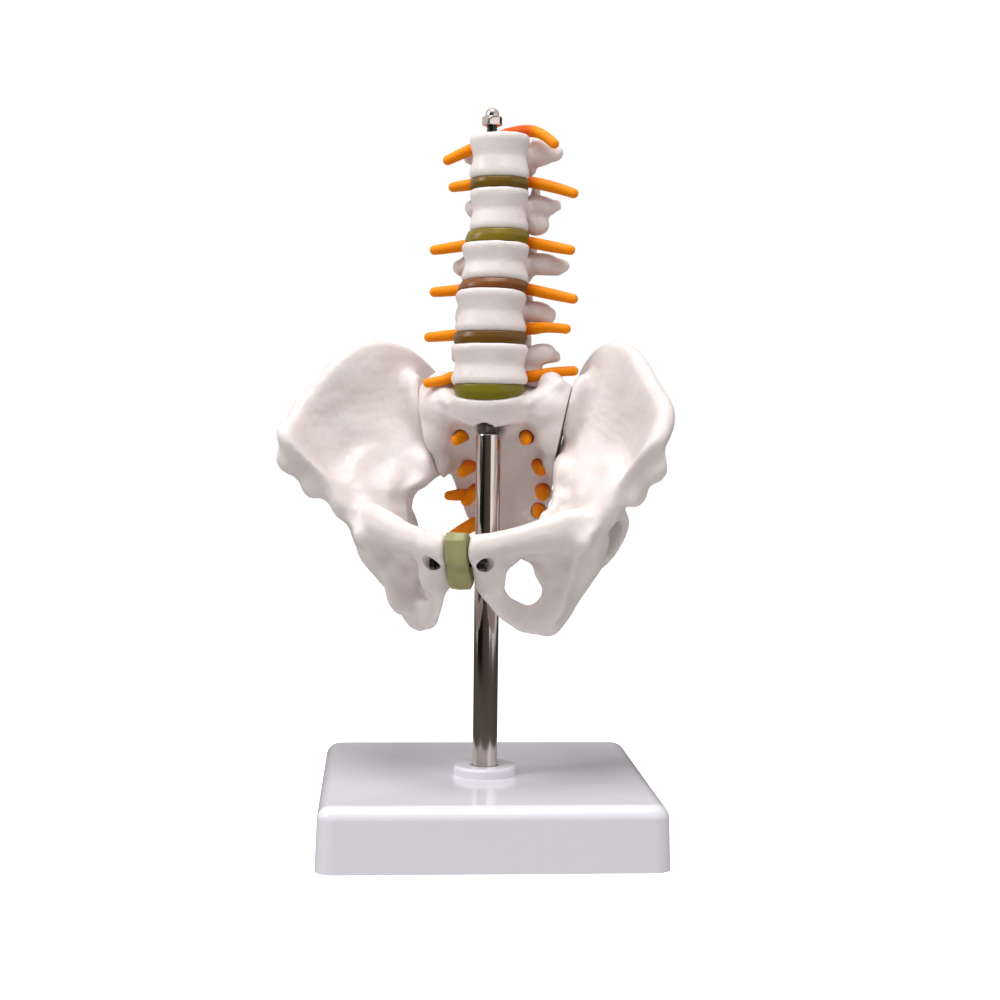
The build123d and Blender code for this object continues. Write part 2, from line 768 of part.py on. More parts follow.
def pubic_screw():
    """The screw across the pubic joint, with its head on the left."""
    end = -pubic_recess_seat - pubic_nut_height - pubic_screw_dia / 4
    start = Plane(origin=(end, pubic_screw_back, pubic_screw_height), z_dir=(1, 0, 0))
    with BuildPart() as screw:
        with BuildSketch(start):
            Circle(pubic_screw_dia / 2)
        extrude(amount=pubic_recess_seat - end)
        with BuildSketch(start.offset(pubic_recess_seat - end)):
            Circle(pubic_head_dia / 2)
        extrude(amount=pubic_head_height)
        slot = start.offset(pubic_recess_seat - end + pubic_head_height)
        with BuildSketch(slot):
            RegularPolygon(radius=pubic_screw_dia / 2, side_count=6, major_radius=False)
        extrude(amount=-pubic_head_height / 2, mode=Mode.SUBTRACT)
    return screw


def pubic_nut():
    place = Plane(origin=(-pubic_recess_seat, pubic_screw_back, pubic_screw_height), z_dir=(-1, 0, 0))
    with BuildPart() as nut:
        add(hex_nut(pubic_nut_flats, pubic_nut_height, pubic_screw_dia + 2 * thread_gap, place))
    return nut


def sacroiliac_screws():
    """The two screws that hold the hip bones to the sacrum, from the outside."""
    with BuildPart() as screws:
        for s in (-1, 1):
            joint = joint_screw_axis(s)
            with BuildSketch(joint.offset(-joint_screw_grip)):
                Circle(joint_screw_dia / 2)
            extrude(amount=joint_screw_grip + joint_head_seat)
            with BuildSketch(joint.offset(joint_head_seat)):
                Circle(joint_head_dia / 2)
            extrude(amount=joint_head_height)
    return screws


# Nerves

sac = [
    (from_seat(0, 19.0, -0.5), 0.6 * sac_dia, 0.6 * sac_dia),
    (from_seat(0, 15.2, 7.0), 0.85 * sac_dia, 0.85 * sac_dia),
    (from_seat(0, 13.0, 15.0), 0.9 * sac_dia, 0.9 * sac_dia),
    (from_seat(0.1, 12.8, 38.0), sac_dia, sac_dia),
    (from_seat(1.3, 13.4, 57.0), sac_dia, sac_dia),
    (from_seat(2.2, 14.0, 76.0), sac_dia, sac_dia),
    (from_seat(2.2, 14.2, 108.5), sac_dia, sac_dia),
]
# height at the sac, then across, back and height of the middle and of the tip
lumbar_roots = [
    (15.5, (14.0, 10.6, 16.5), (27.0, 14.5, 15.5)),
    (34.0, (12.0, 10.5, 32.5), (26.8, 9.5, 32.0)),
    (52.6, (13.0, 10.6, 51.5), (26.5, 10.6, 47.5)),
    (70.5, (13.0, 11.4, 69.0), (26.0, 10.5, 64.5)),
    (88.5, (13.0, 12.2, 87.5), (24.5, 11.0, 87.0)),
    (105.5, (11.5, 12.2, 106.0), (20.5, 11.0, 99.5)),
]


def lumbar_nerves():
    """The dural sac in the canal, with a nerve to each side between the vertebrae."""
    with BuildPart() as nerves:
        limbs = [limb(sac, (1, 0, 0))]
        for level, (height, middle, tip) in enumerate(lumbar_roots):
            shift = body_sides[min(level, len(body_sides) - 1)]
            for s in (-1, 1):
                route = [
                    (from_seat(shift, 12.8, height), nerve_dia, nerve_dia),
                    (from_seat(shift + s * middle[0], *middle[1:]), nerve_dia, nerve_dia),
                    (from_seat(shift / 2 + s * tip[0], *tip[1:]), nerve_dia, nerve_dia),
                ]
                limbs.append(limb(route, (0, 1, 0)))
        add(limbs)
    return nerves


def sacral_nerves(s):
    """The four sacral nerves of one side, set in their holes."""
    with BuildPart() as nerves:
        for tip in sacral_tips:
            add(sacral_nerve(tip, s, 0, nerve_length - nerve_gap))
    return nerves


def save(part, name):
    part.label = name
    export_step(part, f"parts/{name}.step")


save(base().part, "base")
save(base_collar().part, "base_collar")
save(base_washer().part, "base_washer")
save(base_nut().part, "base_nut")
save(stand_rod().part, "stand_rod")
save(rod_lock_nut().part, "rod_lock_nut")
save(spine_stud().part, "spine_stud")
save(cap_nut().part, "cap_nut")
for level, (bone_name, disc_name) in enumerate(zip(lumbar_names, disc_names)):
    save(vertebra(level).part, "vertebra_" + bone_name)
    save(disc(level).part, "disc_" + disc_name)
save(sacrum().part, "sacrum")
left_hip = hip_bone().part
save(left_hip, "hip_bone_left")
save(mirror(left_hip, about=Plane.YZ), "hip_bone_right")
save(pubic_disc().part, "pubic_disc")
save(pubic_screw().part, "pubic_screw")
save(pubic_nut().part, "pubic_nut")
save(sacroiliac_screws().part, "sacroiliac_screws")
save(lumbar_nerves().part, "lumbar_nerves")
save(sacral_nerves(1).part, "sacral_nerves_left")
save(sacral_nerves(-1).part, "sacral_nerves_right")
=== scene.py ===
"""A half life-size pelvis and lumbar column on a rod stand, in metres.

+Z is up, +Y is the back of the body and +X is its left side.
"""

from math import cos, pi, radians, sin

import bmesh
import bpy
import numpy as np
from mathutils import Matrix, Vector, noise


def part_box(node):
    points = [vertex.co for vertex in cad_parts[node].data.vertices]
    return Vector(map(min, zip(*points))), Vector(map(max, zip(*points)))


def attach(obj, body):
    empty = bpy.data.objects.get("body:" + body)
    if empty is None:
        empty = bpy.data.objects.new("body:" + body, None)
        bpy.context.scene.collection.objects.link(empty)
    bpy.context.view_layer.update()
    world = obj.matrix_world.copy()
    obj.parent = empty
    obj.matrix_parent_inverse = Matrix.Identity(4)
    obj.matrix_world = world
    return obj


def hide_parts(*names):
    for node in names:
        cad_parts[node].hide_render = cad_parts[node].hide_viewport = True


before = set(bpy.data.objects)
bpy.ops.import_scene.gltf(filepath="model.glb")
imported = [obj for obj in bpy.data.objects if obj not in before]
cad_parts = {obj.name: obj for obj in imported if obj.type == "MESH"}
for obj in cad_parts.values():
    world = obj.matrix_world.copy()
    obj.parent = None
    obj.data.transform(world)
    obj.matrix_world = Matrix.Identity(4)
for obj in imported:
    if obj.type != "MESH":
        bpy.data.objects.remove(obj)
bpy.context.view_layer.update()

mm = 0.001
base_turn = radians(18.5)

# Stand sizes
base_side = 120.0 * mm
base_height = 22.2 * mm
base_taper = 0.98708
rim_inset = 1.2 * mm
dish_share = 0.26
base_corner = 6.0 * mm
base_edge = 4.5 * mm
base_wall = 2.6 * mm
boss_radius = 13.0 * mm
boss_depth = 4.0 * mm
rib_depth = 7.0 * mm
rib_thick = 2.0 * mm
plate_overlap = 0.5 * mm
plate_top = 21.4 * mm
plate_under = 18.8 * mm
collar_bore = 10.4 * mm
collar_roll = 1.3 * mm

# Metal sizes
rod_radius = 4.5 * mm
rod_top = 146.0 * mm
rod_edge = 0.45 * mm
spigot_radius = 3.0 * mm
spigot_length = 14.0 * mm
spigot_pitch = 0.8 * mm
spigot_gap = 0.25 * mm
thread_gap = 0.1 * mm
stud_radius = 2.0 * mm
stud_core = stud_radius - 0.4 * mm
stud_pitch = 0.7 * mm
stud_sunk = 12.1 * mm
lock_nut_flats = 7.2 * mm
base_nut_flats = 10.0 * mm
cap_nut_flats = 6.5 * mm
cap_hex_height = 3.3 * mm
cap_dome_radius = 2.45 * mm
pubic_head_radius = 2.3 * mm
pubic_head_height = 2.2 * mm
pubic_shank_radius = 1.0 * mm
pubic_pitch = 0.45 * mm
pubic_socket_radius = 1.25 * mm
pubic_nut_flats = 4.4 * mm

# Colours, as sRGB hex
bone_white = "#E8DFDC"
# The bone's darker, pinker colour: painted shade in its hollows, and also its random darker tone
# in clouds
bone_painted_shade_and_tone = "#D8CAC5"
base_white = "#E6E2E9"
disc_olive = "#6E5212"
disc_moss = "#7E6C10"
disc_rust = "#8A4718"
# Each disc's vinyl and the paler clouds in it
disc_tints = {
    "l1_l2": (disc_olive, "#8C6C22"),
    "l2_l3": (disc_moss, "#A08A1E"),
    "l3_l4": (disc_rust, "#93602E"),
    "l4_l5": (disc_olive, "#83561A"),
    "l5_s1": (disc_moss, "#949024"),
}
pubic_cream = "#A9A46C"
pubic_cloud = "#BDB887"
nerve_orange = "#F68F06"
nerve_root_red = "#D6580A"
steel_grey = "#BDB3AC"
dark_steel_grey = "#5C5856"
paper_lit = "#BDBDBD"
paper_in_gloss = "#5E5751"
paper_seen = "#C8C8C8"


# Small tools


def linear(hex_colour):
    """An sRGB hex colour as linear red, green, blue and alpha."""
    values = [int(hex_colour[i : i + 2], 16) / 255 for i in (1, 3, 5)]
    return [v / 12.92 if v <= 0.04045 else ((v + 0.055) / 1.055) ** 2.4 for v in values] + [1.0]


def activate(piece):
    """Make a piece the only selected and active object."""
    bpy.ops.object.select_all(action="DESELECT")
    piece.select_set(True)
    bpy.context.view_layer.objects.active = piece


def apply_modifier(piece, kind, **settings):
    """Add a modifier with its settings and apply it."""
    activate(piece)
    modifier = piece.modifiers.new(kind.lower(), kind)
    for key, value in settings.items():
        setattr(modifier, key, value)
    bpy.ops.object.modifier_apply(modifier=modifier.name)


def cast_anew(piece, voxel):
    """Give a piece one even skin."""
    apply_modifier(piece, "REMESH", mode="VOXEL", voxel_size=voxel, adaptivity=0.0)


def rubbed(piece, rounds):
    """Rub a piece smooth."""
    apply_modifier(piece, "SMOOTH", factor=0.5, iterations=rounds)


def cut(piece, tool, operation="DIFFERENCE"):
    """Cut, join or trim a piece with a tool, and take the tool away."""
    apply_modifier(piece, "BOOLEAN", object=tool, operation=operation, solver="EXACT")
    bpy.data.objects.remove(tool)


def join(piece, other):
    """Join another piece into a piece."""
    activate(piece)
    other.select_set(True)
    bpy.ops.object.join()


def settle(piece, name):
    """Name a finished piece and put its place into its mesh."""
    activate(piece)
    bpy.ops.object.transform_apply(location=True, rotation=True, scale=True)
    piece.name = name
    piece.data.name = name
    return piece


def dress(piece, look, slot, *nodes):
    """Give a piece its material and its body, and hide the nodes that it replaces. Its slot is not
    used.
    """
    piece.data.materials.clear()
    piece.data.materials.append(look)
    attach(piece, "root")
    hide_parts(*nodes)


def placed(name, data):
    """A new active object of the scene from its data."""
    piece = bpy.data.objects.new(name, data)
    bpy.context.scene.collection.objects.link(piece)
    activate(piece)
    return piece


def welded_copy(node, name):
    """A copy of a CAD node with its loose triangles welded."""
    piece = placed(name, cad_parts[node].data.copy())
    bpy.ops.object.mode_set(mode="EDIT")
    bpy.ops.mesh.select_all(action="SELECT")
    bpy.ops.mesh.remove_doubles(threshold=0.002 * mm)
    bpy.ops.object.mode_set(mode="OBJECT")
    return piece


def softened(node, name, voxel, rounds):
    """A CAD node as one cast skin: remeshed evenly and with its facets worn away."""
    piece = welded_copy(node, name)
    cast_anew(piece, voxel)
    rubbed(piece, rounds)
    return piece


def move_along_normals(piece, height):
    """Push each point of a piece out by height(point), in metres."""
    mesh = piece.data
    moves = [v.co + v.normal * height(v.co) for v in mesh.vertices]
    for vertex, place in zip(mesh.vertices, moves):
        vertex.co = place
    mesh.update()


def lumps(point, size):
    """Smooth noise from about -1 to 1, with lumps of a size in metres."""
    return noise.fractal(point / size, 1.0, 2.0, 3)


def smooth_shade(piece, degrees=180):
    """Shade a piece smooth, apart from edges that turn by more than an angle."""
    activate(piece)
    bpy.ops.object.shade_smooth_by_angle(angle=radians(degrees))


# Materials


class Look:
    """A material and its nodes."""

    def __init__(self, name):
        self.material = bpy.data.materials.new(name)
        self.material.use_nodes = True
        self.nodes = self.material.node_tree.nodes
        self.links = self.material.node_tree.links
        self.shader = self.nodes["Principled BSDF"]

    def add(self, kind, settings=None, inputs=None):
        """Add a node with its settings, its input values and its links."""
        node = self.nodes.new(kind)
        for key, value in (settings or {}).items():
            setattr(node, key, value)
        for key, value in (inputs or {}).items():
            self.feed(node, key, value)
        return node

    def feed(self, node, key, value):
        """Link a socket to a node's input, or set the input's value."""
        if isinstance(value, bpy.types.NodeSocket):
            self.links.new(value, node.inputs[key])
        else:
            node.inputs[key].default_value = value

    def finish(self, **inputs):
        """Feed the shader's inputs and return the material."""
        for key, value in inputs.items():
            self.feed(self.shader, key.replace("_", " "), value)
        return self.material


def bumped(look, place, grain, strength, distance):
    """A bump from fine noise whose grain is a size in metres."""
    texture = look.add(
        "ShaderNodeTexNoise",
        inputs={"Vector": place, "Scale": 1 / grain, "Detail": 4.0, "Roughness": 0.6},
    )
    bump = look.add(
        "ShaderNodeBump",
        inputs={"Height": texture.outputs["Fac"], "Strength": strength, "Distance": distance},
    )
    return bump.outputs["Normal"]


def clouds(look, place, size, detail):
    """Soft noise from 0 to 1 whose clouds are a size in metres."""
    texture = look.add(
        "ShaderNodeTexNoise", inputs={"Vector": place, "Scale": 1 / size, "Detail": detail}
    )
    return texture.outputs["Fac"]


def ranged(look, value, low, high, first=0.0, last=1.0):
    """A value's range from low to high, stretched to the range from first to last."""
    spread = look.add(
        "ShaderNodeMapRange",
        inputs={
            "Value": value,
            "From Min": low,
            "From Max": high,
            "To Min": first,
            "To Max": last,
        },
    )
    return spread.outputs["Result"]


def mixed(look, share, first, last):
    """Two colours mixed: the first where the share is 0 and the last where it is 1."""
    mix = look.add("ShaderNodeMix", {"data_type": "RGBA"}, {"Factor": share, 6: first, 7: last})
    return mix.outputs[2]


def bone_plastic():
    """Cast PVC in bone white: a satin skin with painted shade, pinker, in its hollows, and a
    random tone in clouds.
    """
    look = Look("cast_pvc_bone")
    place = look.add("ShaderNodeTexCoord").outputs["Object"]
    tone = clouds(look, place, 14 * mm, 3.0)
    # Painted shade: hollows, where the pointiness is low, take the darker pinker colour and sharp
    # edges stay pale; the clouds add a random tone
    sharpness = look.add("ShaderNodeNewGeometry").outputs["Pointiness"]
    height = ranged(look, sharpness, 0.42, 0.52)
    cloud = ranged(look, tone, 0.35, 0.65, 0.55, 1.0)
    share = look.add("ShaderNodeMath", {"operation": "MULTIPLY"}, {0: height, 1: cloud})
    return look.finish(
        Base_Color=mixed(look, share.outputs[0], linear(bone_painted_shade_and_tone), linear(bone_white)),
        Roughness=ranged(look, tone, 0.3, 0.7, 0.34, 0.46),
        IOR=1.47,
        Subsurface_Weight=0.08,
        Subsurface_Radius=(0.9, 0.5, 0.4),
        Subsurface_Scale=1.2 * mm,
        Normal=bumped(look, place, grain=1.1 * mm, strength=0.25, distance=0.12 * mm),
    )


def base_plastic():
    """Injection-moulded ABS: glossy, faintly lilac, with a trace of ripple."""
    look = Look("moulded_abs_base")
    place = look.add("ShaderNodeTexCoord").outputs["Object"]
    tone = clouds(look, place, 35 * mm, 2.0)
    return look.finish(
        Base_Color=linear(base_white),
        Roughness=ranged(look, tone, 0.3, 0.7, 0.1, 0.18),
        IOR=1.52,
        Normal=bumped(look, place, grain=9 * mm, strength=0.05, distance=0.1 * mm),
    )


def clear_vinyl(name, colour, cloud, roughness):
    """Soft tinted PVC: cloudy, so that only some of the light passes through it."""
    look = Look(name)
    place = look.add("ShaderNodeTexCoord").outputs["Object"]
    tone = clouds(look, place, 6 * mm, 2.0)
    return look.finish(
        Base_Color=mixed(look, tone, linear(colour), linear(cloud)),
        Roughness=roughness,
        IOR=1.45,
        Specular_IOR_Level=0.3,
        Transmission_Weight=0.35,
        Subsurface_Weight=0.15,
        Subsurface_Radius=(1.0, 0.8, 0.3),
        Subsurface_Scale=2 * mm,
        Normal=bumped(look, place, grain=1.5 * mm, strength=0.2, distance=0.1 * mm),
    )


def nerve_vinyl(name, direction, middle, root, tip):
    """Soft dipped PVC: orange at the tip and redder towards the root.

    Root and tip are distances from the middle along the direction, to either side.
    """
    look = Look(name)
    place = look.add("ShaderNodeTexCoord").outputs["Object"]
    along = look.add(
        "ShaderNodeVectorMath", {"operation": "DOT_PRODUCT"}, {0: place, 1: direction}
    )
    beyond = look.add(
        "ShaderNodeMath", {"operation": "SUBTRACT"}, {0: along.outputs["Value"], 1: middle}
    )
    away = look.add("ShaderNodeMath", {"operation": "ABSOLUTE"}, {0: beyond.outputs[0]})
    share = ranged(look, away.outputs[0], root, tip)
    return look.finish(
        Base_Color=mixed(look, share, linear(nerve_root_red), linear(nerve_orange)),
        Roughness=0.45,
        IOR=1.46,
        Specular_IOR_Level=0.18,
        Subsurface_Weight=0.15,
        Subsurface_Radius=(1.0, 0.4, 0.1),
        Subsurface_Scale=1.5 * mm,
        Normal=bumped(look, place, grain=0.9 * mm, strength=0.2, distance=0.08 * mm),
    )


def steel(name, colour, roughness, grain, strength):
    """Steel with fine turned marks round it, polished or oiled."""
    look = Look(name)
    place = look.add("ShaderNodeTexCoord").outputs["Object"]
    stretch = look.add("ShaderNodeMapping", inputs={"Vector": place, "Scale": (0.05, 0.05, 1.0)})
    return look.finish(
        Base_Color=linear(colour),
        Metallic=1.0,
        Roughness=roughness,
        Normal=bumped(look, stretch.outputs["Vector"], grain, strength, 0.02 * mm),
    )


bone_look = bone_plastic()
base_look = base_plastic()
polished_look = steel(
    "drawn_stainless_bar", steel_grey, roughness=0.12, grain=0.5 * mm, strength=0.06
)
dark_look = steel(
    "oiled_steel_fastener", dark_steel_grey, roughness=0.3, grain=0.4 * mm, strength=0.15
)
lumbar_nerve_look = nerve_vinyl(
    "dipped_vinyl_nerve", (1, 0, 0), middle=2 * mm, root=8.5 * mm, tip=13 * mm
)
sacral_nerve_look = nerve_vinyl(
    "dipped_vinyl_sacral_nerve", (0, 1, 0.667), middle=90 * mm, root=15.5 * mm, tip=11 * mm
)
pubic_look = clear_vinyl("clear_vinyl_pubic_pad", pubic_cream, pubic_cloud, roughness=0.35)


# Bones


def hip_surface(point):
    """The cast surface of the hip bones and the sacrum: broad lumps and a finer grain."""
    broad = 0.28 * mm * lumps(point, 9 * mm)
    fine = 0.07 * mm * lumps(point, 2.2 * mm)
    return broad + fine


def vertebra_surface(point):
    """The finer cast surface of the vertebrae."""
    return 0.12 * mm * lumps(point, 5 * mm) + 0.04 * mm * lumps(point, 1.5 * mm)


def unit_ball():
    """A ball one metre in radius, to be made an oval."""
    bpy.ops.mesh.primitive_ico_sphere_add(subdivisions=4, radius=1)
    return bpy.context.object


def add_clay(piece, side, ovals):
    """Press ovals of clay onto a bone, as they lie on the left, or mirrored where side is -1."""
    for place, radii, lean in ovals:
        oval = unit_ball()
        oval.scale = Vector(radii) * mm
        turn = [radians(angle) for angle in lean]
        oval.rotation_euler = (turn[0], side * turn[1], side * turn[2])
        oval.location = Vector((side * place[0], place[1], place[2])) * mm
        settle(oval, "clay")
        join(piece, oval)


def filled_valleys(piece, reach, voxel):
    """Round the sharp valleys between forms: grow the skin, cast it anew and shrink it back."""
    cast_anew(piece, voxel)
    rubbed(piece, 4)
    apply_modifier(piece, "DISPLACE", strength=reach, mid_level=0.0)
    cast_anew(piece, voxel)
    rubbed(piece, 6)
    apply_modifier(piece, "DISPLACE", strength=-reach, mid_level=0.0)
    cast_anew(piece, voxel)


# Ovals of clay on the left side: place in mm, radii in mm and lean in degrees
hip_clay = [
    ((36.5, 3, 123), (4.5, 13, 15), (0, 0, 0)),
    ((33.5, 8, 108), (4, 12, 13), (0, 10, 0)),
    ((29.5, 11, 156), (3.5, 6, 13), (0, 12.7, 0)),
    ((30, -10, 97), (3.5, 9, 14), (0, 12, 38)),
    ((26, -14, 99), (7, 3.5, 7), (0, 0, -35)),
    ((28, -11, 88), (4, 8, 9), (0, 12, 40)),
    ((28, 9, 133), (4, 8, 8), (0, 0, -30)),
    ((10, -33, 98), (6, 4, 9), (20, 0, -20)),
    ((36, -20, 110), (9, 4, 5), (0, 8, -35)),
    ((22, -19, 104.5), (8, 4, 3.5), (0, 0, -35)),
    ((14, -28, 104), (6, 4, 4), (0, 0, -35)),
    ((66, -28, 136), (5, 3.5, 6), (0, 20, -30)),
    ((60, -25, 127), (3, 3, 6), (0, 25, -30)),
]
# The inner wall beside the notch, which the photograph shows closed on the body's left
left_hip_clay = [
    ((26.8, 6, 129), (3.5, 8, 10), (0, 0, 0)),
    ((26.8, 2, 119), (3.5, 8, 9), (0, 0, 0)),
    ((24.5, -8, 114), (3.5, 7, 6), (0, 0, 0)),
]
# The hip wing's own axes, for the worn hollow of its inner face
wing_hub = Vector((42, -4, 118))
wing_forward = Vector((0.531, -0.843, -0.092))
wing_inward = Vector((-0.776, -0.527, 0.347))
wing_up = wing_inward.cross(wing_forward)
# The hollow's middle and half breadths, forward and up, in mm
hollow_middle = (1.0, 23.0)
hollow_reach = (17.0, 19.0)
# The outer edge of the ring round it and the breadth of its soft rim, as shares of its own size
hollow_ring = 1.35
hollow_rim = 0.5
# How far a face may turn from the hollow's axis, as a cosine: inside it, and in the ring
hollow_facing = -0.25
ring_facing = 0.3
# The deepest wear in mm, and how far each side may be filled: the left wing is only worn down
hollow_depth = 7.0
hollow_fill = {1: 0.0, -1: 2.0}
# The pocket of the pubic screw's end on the left side: place and radii in mm, and direction
pocket_place = (10.2, -39.5, 101.8)
pocket_radii = (2.7, 2.7, 5.5)
pocket_aim = (0.75, -0.65, 0.0)
# The sacrum's ovals of clay, on the left side too
sacrum_clay = [
    ((20, 5, 155), (9, 6, 8), (0, -8, 15)),
    ((22, 7, 148), (7, 6, 10), (0, -10, 15)),
    ((21, 9, 164), (5, 5, 5), (0, 0, 0)),
    ((8, 1, 154), (8, 5, 5), (0, 0, 0)),
    ((22, 14, 138), (5, 7, 9), (0, 0, 0)),
    ((25.5, 10, 156), (4, 6, 9), (0, 12.7, 0)),
    ((14.5, 9.5, 144.5), (3.5, 3.5, 3.5), (0, 0, 0)),
    ((16.5, 19.5, 134), (3.5, 3.5, 3.5), (0, 0, 0)),
    ((15.5, 24.5, 123.5), (3.5, 3.5, 3.5), (0, 0, 0)),
    ((10.5, 26.5, 115.5), (3.5, 3.5, 3.5), (0, 0, 0)),
]
# Each sacral nerve in mm: its root in the bone, its tip and the tip's radius
sacral_routes = {
    "left": [
        ((12.0, 11.0, 146.5), (13.0, 3.5, 144.0), 2.0),
        ((14.5, 18.5, 135.5), (16.8, 12.5, 133.0), 2.5),
        ((15.0, 23.5, 125.5), (16.2, 18.0, 123.5), 2.4),
        ((13.2, 26.0, 118.0), (14.0, 21.0, 116.5), 2.1),
    ],
    "right": [
        ((-9.5, 11.0, 147.5), (-13.2, 3.5, 143.5), 2.0),
        ((-10.5, 18.5, 135.0), (-13.2, 12.5, 131.5), 2.2),
        ((-10.5, 23.5, 125.0), (-13.2, 18.0, 120.5), 2.1),
        ((-13.0, 23.5, 122.8), (-20.0, 18.0, 122.3), 1.8),
        ((-10.0, 26.0, 112.5), (-18.0, 19.0, 107.5), 2.1),
    ],
}
# How much wider a nerve is at its root and half way, in mm
root_swell = 0.5
middle_swell = 0.7
# Each nerve's mouth in the sacrum, in mm: way behind the tip, room round it and half its length
mouth_behind = 2.5
mouth_room = 1.0
mouth_reach = 4
# The sacroiliac joint: the gap, a point on its plane on the left side and the plane's direction
joint_gap = 0.35 * mm
joint_front = Vector((28.5, 12.0, 163.0)) * mm
joint_outward = Vector((0.966, 0.142, -0.217))
# The joint's faces lie behind and above these
hip_face_front = 4 * mm
hip_face_foot = 128 * mm
sacrum_face_foot = 125 * mm


def faced_at_joint(piece, side, inward, reach):
    """Flatten a bone against the plane of its sacroiliac joint, where reach(point) is true.

    Inward is 1 for the bone inside the joint and -1 for the one outside it.
    """
    flip = Vector((side, 1, 1))
    place = joint_front * flip
    outward = joint_outward * flip
    for vertex in piece.data.vertices:
        past = ((vertex.co - place).dot(outward)) * inward + joint_gap / 2
        if past > 0 and reach(vertex.co):
            vertex.co -= outward * (past * inward)
    piece.data.update()


def hollowed(piece, side):
    """Wear the inner face of the hip's wing to one smooth hollow.

    A bowl is fitted to the ring round the hollow, and the face inside is moved to it.
    """
    flip = Vector((side, 1, 1))
    axes = [wing_forward * flip, wing_up * flip, wing_inward * flip]
    hub = wing_hub * flip * mm
    mesh = piece.data
    inside, ring = [], []
    for vertex in mesh.vertices:
        facing = vertex.normal.dot(axes[2])
        if facing < hollow_facing:
            continue
        place = vertex.co - hub
        u, v, w = (place.dot(axis) / mm for axis in axes)
        across = (u - hollow_middle[0]) / hollow_reach[0]
        along = (v - hollow_middle[1]) / hollow_reach[1]
        away = (across * across + along * along) ** 0.5
        if away < 1.0:
            inside.append((vertex.index, across, along, w, away))
        elif away < hollow_ring and facing > ring_facing:
            ring.append((across, along, w))
    ring = np.array(ring)
    powers = [(i, j) for i in range(3) for j in range(3 - i)]

    def terms(x, y):
        return np.stack([x**i * y**j for i, j in powers], axis=-1)

    weights, *_ = np.linalg.lstsq(terms(ring[:, 0], ring[:, 1]), ring[:, 2], rcond=None)
    for index, across, along, w, away in inside:
        target = float(terms(np.array(across), np.array(along)) @ weights)
        share = min(1.0, (1 - away) / hollow_rim)
        share = share * share * (3 - 2 * share)
        change = max(-hollow_depth, min(hollow_fill[side], target - w))
        mesh.vertices[index].co += axes[2] * (change * share * mm)
    mesh.update()
    worn = piece.vertex_groups.new(name="worn")
    worn.add([entry[0] for entry in inside], 1.0, "REPLACE")
    apply_modifier(piece, "SMOOTH", factor=0.7, iterations=60, vertex_group="worn")
    piece.vertex_groups.clear()
    cast_anew(piece, 0.7 * mm)
    rubbed(piece, 5)


def pressed_oval(place, radii, aim):
    """An oval tool whose long axis follows a direction."""
    oval = unit_ball()
    oval.matrix_world = (
        Matrix.Translation(place)
        @ Vector(aim).to_track_quat("Z", "Y").to_matrix().to_4x4()
        @ Matrix.Diagonal((*radii, 1))
    )
    return settle(oval, "oval_tool")


def screw_pocket(piece, side):
    """Press the pocket in front of the pubic bone where the screw's end shows."""
    flip = Vector((side, 1, 1))
    place = Vector(pocket_place) * flip * mm
    cut(piece, pressed_oval(place, Vector(pocket_radii) * mm, Vector(pocket_aim) * flip))


def hip_bones():
    """The two hip bones, each with rounded joins, a worn wing and a flat face at its joint."""
    for side, name in ((1, "left"), (-1, "right")):
        piece = welded_copy(f"hip_bone_{name}", f"hip_{name}_cast")
        add_clay(piece, side, hip_clay)
        if side > 0:
            add_clay(piece, side, left_hip_clay)
        filled_valleys(piece, reach=3.2 * mm, voxel=0.7 * mm)
        rubbed(piece, 10)
        hollowed(piece, side)
        screw_pocket(piece, side)
        move_along_normals(piece, hip_surface)
        faced_at_joint(
            piece, side, -1, lambda place: place.y > hip_face_front and place.z > hip_face_foot
        )
        smooth_shade(piece)
        dress(piece, bone_look, "bone_plastic", f"hip_bone_{name}")


def sacrum():
    """The sacrum, with a mouth pressed in for each of its nerves."""
    piece = welded_copy("sacrum", "sacrum_cast")
    for side in (-1, 1):
        add_clay(piece, side, sacrum_clay)
    filled_valleys(piece, reach=1.6 * mm, voxel=0.55 * mm)
    rubbed(piece, 8)
    for routes in sacral_routes.values():
        for root, tip, radius in routes:
            along = (Vector(tip) - Vector(root)).normalized()
            mouth = Vector(tip) - along * mouth_behind
            breadth = radius + mouth_room
            radii = Vector((breadth, breadth, mouth_reach)) * mm
            cut(piece, pressed_oval(mouth * mm, radii, along))
    rubbed(piece, 3)
    move_along_normals(piece, hip_surface)
    for side in (-1, 1):
        faced_at_joint(
            piece, side, 1, lambda place: place.x * side > 0 and place.z > sacrum_face_foot
        )
    smooth_shade(piece)
    dress(piece, bone_look, "bone_plastic", "sacrum")


# Each vertebra's middle in mm: side, back edge of the body, height
vertebra_middles = {
    "l5": (0.0, 8.2, 171.3),
    "l4": (0.2, 8.0, 190.1),
    "l3": (1.3, 8.8, 207.8),
    "l2": (2.3, 9.1, 226.9),
    "l1": (2.2, 9.2, 246.1),
}
# Ovals on the left transverse process of each: place from the middle, radii and lean
process_clay = {
    "l5": [((15, 4, 4), (7, 3, 4), (0, -15, 0)), ((13, 5, -4), (6, 3, 4), (0, 20, 0))],
    "l4": [((13, 6, 1), (7, 3, 4), (0, 0, 0)), ((17, 6, -1), (4, 2.4, 3), (0, 10, 0))],
    "l3": [((14, 6, 1), (8, 3, 4), (0, 5, 0)), ((20, 6, 0), (5, 2.4, 3), (0, 0, 0))],
    "l2": [((12, 6, 3), (7, 3, 4), (0, 10, 0)), ((11, 6, -4), (5, 3, 4), (0, 0, 0))],
    "l1": [((12, 6, 3), (7, 3, 5), (0, -10, 0)), ((17, 6, 3), (4, 2.4, 3.4), (0, 0, 0))],
}
# The right transverse processes are drawn in to a share of their length past this many mm
tuck_start = 11.5
tuck_share = 0.62


